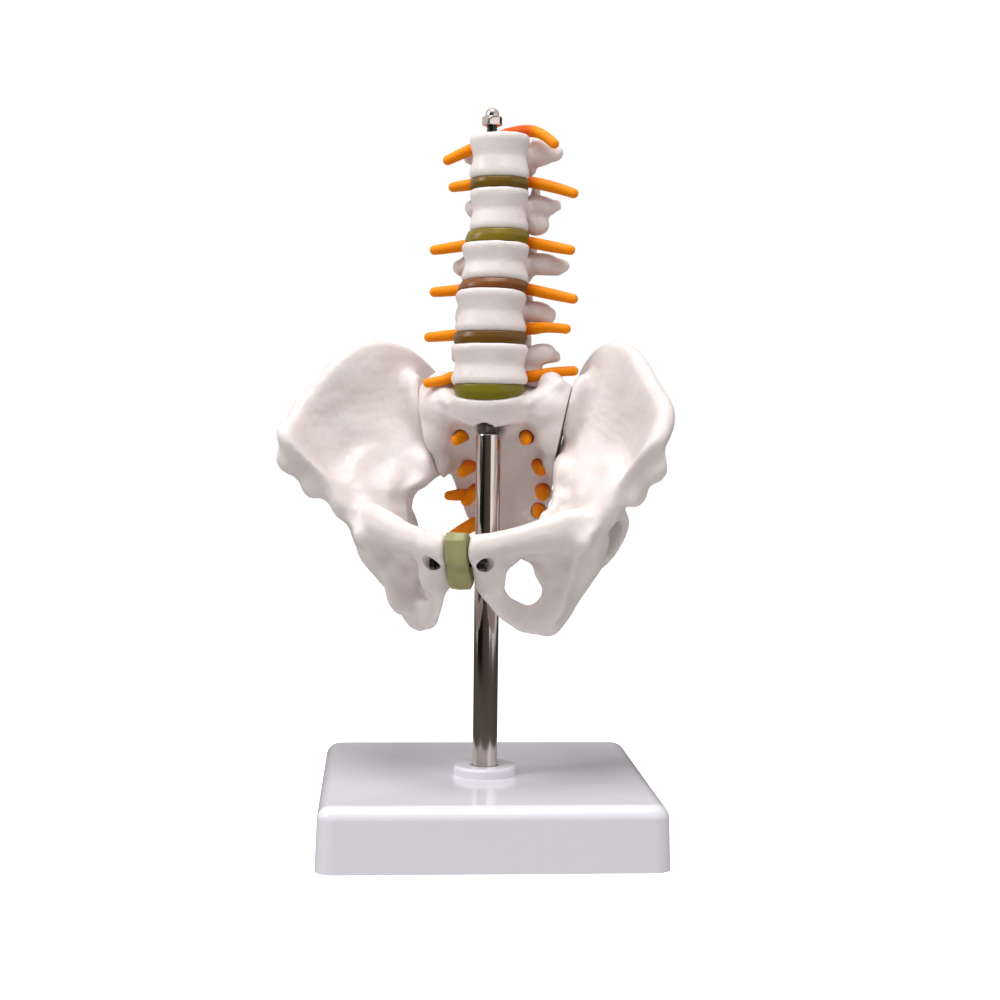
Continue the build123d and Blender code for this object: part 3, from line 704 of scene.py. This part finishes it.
def vertebrae():
    """The five lumbar vertebrae, with rounded transverse processes."""
    for level, (across, back, height) in vertebra_middles.items():
        piece = welded_copy(f"vertebra_{level}", f"vertebra_{level}_cast")
        middle = Vector((across, back, height))
        for side in (-1, 1):
            for (x, y, z), radii, lean in process_clay[level]:
                place = middle + Vector((side * x, y, z))
                turned = (lean[0], side * lean[1], side * lean[2])
                add_clay(piece, 1, [(place, radii, turned)])
        filled_valleys(piece, reach=0.9 * mm, voxel=0.45 * mm)
        rubbed(piece, 6)
        tuck = (across - tuck_start) * mm
        for vertex in piece.data.vertices:
            if vertex.co.x < tuck and vertex.co.y > back * mm:
                vertex.co.x = tuck + tuck_share * (vertex.co.x - tuck)
        move_along_normals(piece, vertebra_surface)
        smooth_shade(piece)
        dress(piece, bone_look, "bone_plastic", f"vertebra_{level}")


# Discs and nerves


# The lowest disc and the pubic pad are narrower than their solids, and the pad also hangs lower
lowest_disc_share = 0.93
pubic_pad_share = 0.92
pubic_pad_drop = 1.5 * mm


def discs():
    """The elastic discs, each in its own tint, and the pad of the pubic joint."""
    for name, (colour, cloud) in disc_tints.items():
        piece = softened(f"disc_{name}", f"disc_{name}_pad", voxel=0.3 * mm, rounds=4)
        if name == "l5_s1":
            for vertex in piece.data.vertices:
                vertex.co.x *= lowest_disc_share
        smooth_shade(piece)
        look = clear_vinyl(f"tinted_vinyl_disc_{name}", colour, cloud, roughness=0.28)
        dress(piece, look, "disc_vinyl", f"disc_{name}")
    pad = softened("pubic_disc", "pubic_pad", voxel=0.35 * mm, rounds=8)
    for vertex in pad.data.vertices:
        vertex.co.x *= pubic_pad_share
        vertex.co.z -= pubic_pad_drop
    smooth_shade(pad)
    dress(pad, pubic_look, "pubic_vinyl", "pubic_disc")


# The nerves' sac in mm, from the bottom up: points, and the radius at each
sac_points = [
    (0, 19, 152),
    (0, 14.5, 160),
    (0, 13, 170),
    (0.2, 13, 190),
    (1.3, 13.4, 208),
    (2.2, 14, 228),
    (2.2, 14.2, 256),
]
sac_radii = [2.2, 2.8, 3.2, 3.4, 3.4, 3.4, 2.6]
# Each lumbar pair in mm: the root at the sac, then the points to the left tip and the right tip
lumbar_routes = [
    (
        (0.0, 12.8, 166.5),
        [(13, 10.8, 166.8), (20, 12, 169.0), (28.5, 13, 169.4)],
        [(-14.5, 8, 167.5), (-18.5, 2.5, 165.1), (-23.4, 0.5, 164.4)],
    ),
    (
        (0.2, 12.8, 184.5),
        [(13, 10.5, 184.5), (19, 9, 185.3), (26.5, 8, 184.5)],
        [(-13, 10.5, 182.5), (-25.8, 9, 181.5)],
    ),
    (
        (1.3, 12.8, 201.5),
        [(14, 10.6, 198.6), (28.8, 9, 195.4)],
        [(-11, 10.6, 199), (-24, 9.5, 198.2)],
    ),
    (
        (2.3, 12.8, 218.5),
        [(14, 11, 215.6), (27.4, 9.5, 213.1)],
        [(-10, 11, 215.5), (-24.1, 9.5, 213.7)],
    ),
    (
        (2.3, 12.8, 239.5),
        [(14, 11.5, 238.6), (28.2, 10, 233.6)],
        [(-9, 11.5, 238), (-17.1, 9.5, 236.7)],
    ),
    (
        (2.3, 13.5, 256.5),
        [(9, 12, 257.2), (16.5, 9.5, 255.6), (21.2, 8, 251.3)],
        [(-8.5, 12, 252), (-19.2, 9, 246.5)],
    ),
]
nerve_radius = 1.85
ganglion_swell = 1.35


def tube(name, points, radii):
    """A soft tube along points in mm, with a round end at its tip."""
    curve = bpy.data.curves.new(name, "CURVE")
    curve.dimensions = "3D"
    curve.bevel_depth = 1.0
    curve.bevel_resolution = 5
    curve.resolution_u = 10
    curve.use_fill_caps = True
    spline = curve.splines.new("NURBS")
    spline.points.add(len(points) - 1)
    for control, point, radius in zip(spline.points, points, radii):
        control.co = (*(Vector(point) * mm), 1)
        control.radius = radius * mm
    spline.order_u = 3
    spline.use_endpoint_u = True
    piece = placed(name, curve)
    bpy.ops.object.convert(target="MESH")
    bpy.ops.mesh.primitive_ico_sphere_add(
        subdivisions=3, radius=radii[-1] * mm, location=Vector(points[-1]) * mm
    )
    tip = bpy.context.object
    settle(tip, "tip")
    join(piece, tip)
    return piece


def lumbar_nerves():
    """The dipped nerve tree: a sac in the canal and a swollen root to each side."""
    tree = tube("lumbar_nerve_tree", sac_points, sac_radii)
    for root, *routes in lumbar_routes:
        for route in routes:
            points = [root, *route]
            radii = [nerve_radius] * len(points)
            radii[1] = nerve_radius * ganglion_swell
            join(tree, tube("root", points, radii))
    cast_anew(tree, 0.3 * mm)
    rubbed(tree, 6)
    smooth_shade(tree)
    dress(tree, lumbar_nerve_look, "nerve_vinyl", "lumbar_nerves")


def sacral_nerves():
    """The short dipped nerves that look out of the sacrum's mouths."""
    for side, routes in sacral_routes.items():
        roots = None
        for root, tip, radius in routes:
            middle = (Vector(root) + Vector(tip)) / 2
            radii = [radius + root_swell, radius + middle_swell, radius]
            piece = tube(f"sacral_roots_{side}", [root, middle, tip], radii)
            if roots:
                join(roots, piece)
            else:
                roots = piece
        cast_anew(roots, 0.25 * mm)
        rubbed(roots, 5)
        smooth_shade(roots)
        dress(roots, sacral_nerve_look, "nerve_vinyl", f"sacral_nerves_{side}")


# Stand and metal parts


def lathe(name, outline, segments=72):
    """Spin an outline of (radius, height) corners about the vertical axis."""
    mesh = bpy.data.meshes.new(name)
    last = len(outline) - 1
    edges = [(i, i + 1) for i in range(last)]
    if outline[0][0] > 0:
        edges.append((last, 0))
    mesh.from_pydata([(radius, 0, height) for radius, height in outline], edges, [])
    piece = placed(name, mesh)
    bpy.ops.object.mode_set(mode="EDIT")
    bpy.ops.mesh.select_all(action="SELECT")
    bpy.ops.mesh.spin(steps=segments, angle=2 * pi, center=(0, 0, 0), axis=(0, 0, 1))
    bpy.ops.mesh.select_all(action="SELECT")
    bpy.ops.mesh.remove_doubles(threshold=0.001 * mm)
    bpy.ops.mesh.normals_make_consistent(inside=False)
    bpy.ops.object.mode_set(mode="OBJECT")
    return piece


def rolled_thread(radius, pitch, bottom, top):
    """The outline of a rolled thread, one ring to a pitch."""
    points = []
    for turn in range(round((top - bottom) / pitch)):
        foot = bottom + turn * pitch
        points += [
            (radius - 0.55 * pitch, foot),
            (radius - 0.55 * pitch, foot + 0.2 * pitch),
            (radius, foot + 0.5 * pitch),
            (radius, foot + 0.7 * pitch),
        ]
    return points


def hex_nut(name, flats, foot, height, bore):
    """A pressed hexagon nut: chamfered corners, a bore and softened edges."""
    corner = flats / 3**0.5
    top = foot + height
    bpy.ops.mesh.primitive_cylinder_add(
        vertices=6, radius=corner, depth=height, location=(0, 0, (foot + top) / 2)
    )
    nut = bpy.context.object
    nut.name = name
    slope = 0.7 * (corner - flats / 2)
    face = 0.48 * flats
    rounder = lathe(
        "nut_rounder",
        [
            (0, foot),
            (face, foot),
            (corner, foot + slope),
            (corner, top - slope),
            (face, top),
            (0, top),
        ],
    )
    cut(nut, rounder, "INTERSECT")
    if bore:
        reach = 0.1 * height
        low, high = foot - reach, top + reach
        drill = [(0, low), (bore / 2, low), (bore / 2, high), (0, high)]
        cut(nut, lathe("nut_drill", drill))
    apply_modifier(
        nut, "BEVEL", width=0.1 * mm, segments=2, limit_method="ANGLE", angle_limit=radians(25)
    )
    smooth_shade(nut, 35)
    return nut


def stand_rod():
    """Drawn stainless bar with a turned top edge and a threaded spigot below."""
    foot = plate_top - spigot_length
    spigot = [(0, foot), (spigot_radius - 0.5 * mm, foot)]
    spigot += rolled_thread(
        spigot_radius, spigot_pitch, foot + 0.4 * mm, plate_top - 0.4 * mm
    )
    bar = [
        (spigot_radius, plate_top),
        (rod_radius - rod_edge / 2, plate_top),
        (rod_radius, plate_top + rod_edge / 2),
        (rod_radius, rod_top - rod_edge),
        (rod_radius - 0.3 * rod_edge, rod_top - 0.3 * rod_edge),
        (rod_radius - rod_edge, rod_top),
        (stud_radius + thread_gap, rod_top),
        (stud_radius + thread_gap, rod_top - stud_sunk),
        (0, rod_top - stud_sunk),
    ]
    rod = lathe("drawn_rod", spigot + bar, 128)
    smooth_shade(rod, 35)
    dress(rod, polished_look, "polished_steel", "stand_rod")


def stud_and_nuts():
    """The threaded stud, its lock nut and domed nut, and the washer and nut under the base."""
    low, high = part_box("spine_stud")
    outline = [(0, low.z), (stud_core, low.z)]
    outline += rolled_thread(stud_radius, stud_pitch, low.z + 0.3 * mm, high.z - 0.3 * mm)
    outline += [(stud_core, high.z), (0, high.z)]
    stud = lathe("threaded_stud", outline, 32)
    smooth_shade(stud, 30)
    dress(stud, dark_look, "dark_steel", "spine_stud")

    for node, name, flats, shank in (
        ("rod_lock_nut", "stud_lock_nut", lock_nut_flats, stud_radius),
        ("base_nut", "spigot_nut", base_nut_flats, spigot_radius),
    ):
        low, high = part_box(node)
        nut = hex_nut(name, flats, low.z, high.z - low.z, 2 * (shank + thread_gap))
        dress(nut, dark_look, "dark_steel", node)

    low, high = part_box("base_washer")
    rim = 0.2 * mm
    outer = high.x
    ring = [
        (spigot_radius + spigot_gap, low.z),
        (outer - rim, low.z),
        (outer, low.z + rim),
        (outer, high.z - rim),
        (outer - rim, high.z),
        (spigot_radius + spigot_gap, high.z),
    ]
    washer = lathe("spigot_washer", ring, 64)
    smooth_shade(washer, 30)
    dress(washer, dark_look, "dark_steel", "base_washer")

    low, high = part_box("cap_nut")
    shoulder = low.z + cap_hex_height
    nut = hex_nut("domed_nut", cap_nut_flats, low.z, cap_hex_height, 0)
    rise = high.z - shoulder
    outline = [(0, shoulder - 1 * mm), (cap_dome_radius, shoulder - 1 * mm)]
    outline += [(cap_dome_radius, shoulder), (cap_dome_radius * 0.97, shoulder + 0.35 * rise)]
    for turn in range(1, 9):
        lean = radians(90 * turn / 8)
        outline.append(
            (cap_dome_radius * 0.94 * cos(lean), shoulder + rise * (0.42 + 0.58 * sin(lean)))
        )
    outline[-1] = (0, high.z)
    dome = lathe("nut_dome", outline, 48)
    cut(nut, dome, "UNION")
    smooth_shade(nut, 35)
    dress(nut, polished_look, "polished_steel", "cap_nut")


def pick(piece, test, kind="FACE"):
    """Select a piece's faces or edges whose centre and corners pass a test, in edit mode."""
    bpy.ops.mesh.select_mode(type=kind)
    bpy.ops.mesh.select_all(action="DESELECT")
    shape = bmesh.from_edit_mesh(piece.data)
    for item in shape.faces if kind == "FACE" else shape.edges:
        corners = [vertex.co for vertex in item.verts]
        item.select_set(test(sum(corners, Vector()) / len(corners), corners))
    bmesh.update_edit_mesh(piece.data)


def moulded_base():
    """The square foot: drafted walls, rounded corners and a top that dips to the collar."""
    flat = base_height - 0.01 * mm
    bpy.ops.mesh.primitive_cube_add(size=1, location=(0, 0, base_height / 2))
    foot = bpy.context.object
    foot.scale = (base_side, base_side, base_height)
    settle(foot, "moulded_foot")
    bpy.ops.object.mode_set(mode="EDIT")
    pick(foot, lambda place, corners: place.z > flat)
    bpy.ops.transform.resize(value=(base_taper, base_taper, 1))
    pick(foot, lambda place, corners: abs(corners[0].z - corners[1].z) > flat, "EDGE")
    bpy.ops.mesh.bevel(offset=base_corner, segments=10, affect="EDGES")
    pick(foot, lambda place, corners: min(corners[0].z, corners[1].z) > flat, "EDGE")
    bpy.ops.mesh.bevel(offset=base_edge, segments=9, affect="EDGES")
    pick(foot, lambda place, corners: place.z > flat and len(corners) > 4)
    bpy.ops.mesh.inset(thickness=rim_inset)
    bpy.ops.mesh.extrude_region_move(
        TRANSFORM_OT_translate={"value": (0, 0, plate_top - base_height)}
    )
    bpy.ops.transform.resize(value=(dish_share, dish_share, 1))
    pick(foot, lambda place, corners: place.z < 0.01 * mm)
    bpy.ops.mesh.delete(type="FACE")
    bpy.ops.object.mode_set(mode="OBJECT")
    apply_modifier(foot, "SOLIDIFY", thickness=base_wall, offset=-1)
    for turn in (0, 1):
        for side in (-1, 1):
            place = side * (base_side / 4 + boss_radius / 2 - 2 * mm)
            bpy.ops.mesh.primitive_cube_add(size=1)
            rib = bpy.context.object
            rib.scale = (base_side / 2 - boss_radius - 3 * mm, rib_thick, rib_depth)
            rib.location = (place, 0, plate_under - rib_depth / 2 + plate_overlap)
            if turn:
                rib.scale = (rib_thick, rib.scale.x, rib_depth)
                rib.location = (0, place, rib.location.z)
            settle(rib, "rib")
            join(foot, rib)
    ring = [
        (spigot_radius + spigot_gap, plate_under - boss_depth),
        (boss_radius - 0.5 * mm, plate_under - boss_depth),
        (boss_radius, plate_under - boss_depth + 0.5 * mm),
        (boss_radius, plate_under + plate_overlap),
        (spigot_radius + spigot_gap, plate_under + plate_overlap),
    ]
    join(foot, lathe("boss", ring))
    foot.rotation_euler = (0, 0, base_turn)
    settle(foot, "moulded_foot")
    smooth_shade(foot, 28)
    apply_modifier(foot, "WEIGHTED_NORMAL", keep_sharp=True, weight=100)
    dress(foot, base_look, "base_plastic", "base")


def rod_collar():
    """The moulded ring round the rod's foot, with a rolled edge."""
    low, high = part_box("base_collar")
    outer = high.x
    bore = collar_bore / 2
    outline = [(bore, low.z), (outer, low.z), (outer, high.z - collar_roll)]
    for step in range(1, 7):
        lean = radians(15 * step)
        inwards = collar_roll * (1 - cos(lean))
        outline.append((outer - inwards, high.z - collar_roll * (1 - sin(lean))))
    outline += [(bore + 0.4 * mm, high.z - 0.15 * mm), (bore, high.z - 0.6 * mm)]
    ring = lathe("rod_collar", outline, 96)
    smooth_shade(ring, 35)
    dress(ring, base_look, "base_plastic", "base_collar")


def laid_along(piece, place, axis):
    """Turn a piece made on the vertical axis to lie along another."""
    turn = Vector(axis).to_track_quat("Z", "Y").to_matrix().to_4x4()
    piece.matrix_world = Matrix.Translation(place) @ turn
    settle(piece, piece.name)


def pubic_fasteners():
    """The socket screw across the pubic joint and the small nut on its end."""
    low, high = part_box("pubic_screw")
    middle = (low + high) / 2
    length = high.x - low.x
    neck = length - pubic_head_height
    outline = [(0, 0), (pubic_shank_radius - 0.25 * mm, 0)]
    outline += rolled_thread(pubic_shank_radius, pubic_pitch, 0.2 * mm, neck - 0.1 * mm)
    outline += [
        (pubic_head_radius, neck),
        (pubic_head_radius, length - 0.3 * mm),
        (pubic_head_radius - 0.3 * mm, length),
        (0, length),
    ]
    screw = lathe("pubic_socket_screw", outline, 36)
    bpy.ops.mesh.primitive_cylinder_add(
        vertices=6, radius=pubic_socket_radius, depth=2.4 * mm, location=(0, 0, length)
    )
    cut(screw, bpy.context.object)
    laid_along(screw, (low.x, middle.y, middle.z), (1, 0, 0))
    smooth_shade(screw, 30)
    dress(screw, dark_look, "dark_steel", "pubic_screw")

    low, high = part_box("pubic_nut")
    middle = (low + high) / 2
    bore = 2 * pubic_shank_radius + 0.1 * mm
    nut = hex_nut("pubic_joint_nut", pubic_nut_flats, 0, high.x - low.x, bore)
    laid_along(nut, (low.x, middle.y, middle.z), (1, 0, 0))
    dress(nut, dark_look, "dark_steel", "pubic_nut")


def joint_screws():
    """Two oiled screws through the hip bones into the sacrum."""
    screws = welded_copy("sacroiliac_screws", "sacral_joint_screws")
    apply_modifier(
        screws, "BEVEL", width=0.25 * mm, segments=3, limit_method="ANGLE", angle_limit=radians(50)
    )
    smooth_shade(screws, 40)
    dress(screws, dark_look, "dark_steel", "sacroiliac_screws")


# Studio

paper_glow = 0.84
ambient_light = 0.36
# The room's cards: radius, foot and top in metres, and the warm tone of their light
room_radius = 1.3
room_foot = -0.4
room_top = 0.95
room_tone = (1.0, 0.82, 0.72, 1)
# Each card's bearings in degrees and its brightness
room_cards = {
    "room_left": (-150, -62, 0.09),
    "room_gap": (-36, -14, 0.05),
    "room_black": (-14, 58, 0.003),
    "room_right": (58, 150, 0.11),
}
# Each softbox's place, target and size in metres, and its power in watts
softboxes = {
    "key_softbox": ((-0.85, -0.55, 0.75), (0, 0, 0.13), 0.4, 4.6),
    "fill_softbox": ((0.9, -0.6, 0.4), (0, 0, 0.13), 0.6, 1.6),
    "top_softbox": ((0.0, -0.3, 1.1), (0, 0, 0.1), 0.6, 9.5),
}


def stage_material():
    """Matt white paper: plain white with a soft shadow when seen, and darker in gloss."""
    look = Look("studio_paper")
    path = look.add("ShaderNodeLightPath")
    seen = look.add(
        "ShaderNodeMath",
        {"operation": "MAXIMUM"},
        {0: path.outputs["Is Camera Ray"], 1: path.outputs["Is Transmission Ray"]},
    )
    lit = mixed(
        look, path.outputs["Is Glossy Ray"], linear(paper_lit), linear(paper_in_gloss)
    )
    glow = look.add(
        "ShaderNodeMath", {"operation": "MULTIPLY"}, {0: seen.outputs[0], 1: paper_glow}
    )
    return look.finish(
        Base_Color=mixed(look, seen.outputs[0], lit, linear(paper_seen)),
        Roughness=0.9,
        Specular_IOR_Level=0.0,
        Emission_Color=(1, 1, 1, 1),
        Emission_Strength=glow.outputs[0],
    )


def room_card(name, start, end, tone):
    """A curved card that only shows in gloss: a side of the room between two bearings.

    The bearings are in degrees from the camera's side, to the right as the camera sees it.
    """
    towards_camera = Vector((0.257, -0.966, 0))
    towards_right = Vector((0.966, 0.257, 0))
    first = radians(start)
    foot = room_radius * (cos(first) * towards_camera + sin(first) * towards_right)
    mesh = bpy.data.meshes.new(name)
    mesh.from_pydata([(foot.x, foot.y, room_foot), (foot.x, foot.y, room_top)], [(0, 1)], [])
    card = placed(name, mesh)
    bpy.ops.object.mode_set(mode="EDIT")
    bpy.ops.mesh.select_all(action="SELECT")
    bpy.ops.mesh.spin(steps=24, angle=radians(end - start), center=(0, 0, 0), axis=(0, 0, 1))
    bpy.ops.object.mode_set(mode="OBJECT")
    shade = Look(name)
    card.data.materials.append(
        shade.finish(
            Base_Color=(0, 0, 0, 1),
            Roughness=1.0,
            Specular_IOR_Level=0.0,
            Emission_Color=room_tone,
            Emission_Strength=tone,
        )
    )
    card.visible_camera = False
    card.visible_diffuse = False
    card.visible_transmission = False
    card.visible_shadow = False
    card.visible_volume_scatter = False


def softbox(name, place, target, size, power):
    """A square area light that faces its target."""
    bpy.ops.object.light_add(type="AREA", location=place)
    light = bpy.context.object
    light.name = name
    light.data.size = size
    light.data.energy = power
    aim = Vector(target) - Vector(place)
    light.rotation_euler = aim.to_track_quat("-Z", "Y").to_euler()


def studio():
    """A white floor and world, room cards that show in gloss, and a key, fill and top light."""
    bpy.ops.mesh.primitive_plane_add(size=6, location=(0, 0, 0))
    floor = bpy.context.object
    floor.name = "studio_floor"
    floor.data.materials.append(stage_material())

    # The world is white where it is seen, mirrored or seen through, and dimmer as a light
    world = bpy.data.worlds.new("studio_white")
    bpy.context.scene.world = world
    world.use_nodes = True
    nodes, links = world.node_tree.nodes, world.node_tree.links
    background = nodes["Background"]
    path = nodes.new("ShaderNodeLightPath")
    seen = nodes.new("ShaderNodeMath")
    seen.operation = "MAXIMUM"
    links.new(path.outputs["Is Camera Ray"], seen.inputs[0])
    links.new(path.outputs["Is Glossy Ray"], seen.inputs[1])
    strength = nodes.new("ShaderNodeMapRange")
    strength.inputs["To Min"].default_value = ambient_light
    strength.inputs["To Max"].default_value = 1.0
    through = nodes.new("ShaderNodeMath")
    through.operation = "MAXIMUM"
    links.new(seen.outputs[0], through.inputs[0])
    links.new(path.outputs["Is Transmission Ray"], through.inputs[1])
    links.new(through.outputs[0], strength.inputs["Value"])
    links.new(strength.outputs["Result"], background.inputs["Strength"])
    background.inputs["Color"].default_value = (1, 1, 1, 1)

    for name, card in room_cards.items():
        room_card(name, *card)
    for name, light in softboxes.items():
        softbox(name, *light)


def photo_camera():
    """The camera of the photograph: place, aim, roll and focal length."""
    place = Vector((160.2, -602.1, 153.68)) * mm
    yaw, pitch, roll = radians(-14.49), radians(2.91), radians(0.69)
    forward = Vector((sin(yaw) * cos(pitch), cos(yaw) * cos(pitch), -sin(pitch)))
    level = Vector((cos(yaw), -sin(yaw), 0))
    up = level.cross(forward)
    right = level * cos(roll) + up * sin(roll)
    top = up * cos(roll) - level * sin(roll)
    data = bpy.data.cameras.new("photo_camera")
    data.sensor_width = 36
    data.lens = 61.6
    camera = placed("photo_camera", data)
    turn = Matrix((right, top, -forward)).transposed().to_4x4()
    camera.matrix_world = Matrix.Translation(place) @ turn
    bpy.context.scene.camera = camera


hip_bones()
sacrum()
vertebrae()
discs()
lumbar_nerves()
sacral_nerves()
moulded_base()
rod_collar()
stand_rod()
stud_and_nuts()
pubic_fasteners()
joint_screws()
studio()
photo_camera()
bpy.context.scene.view_settings.view_transform = "Standard"
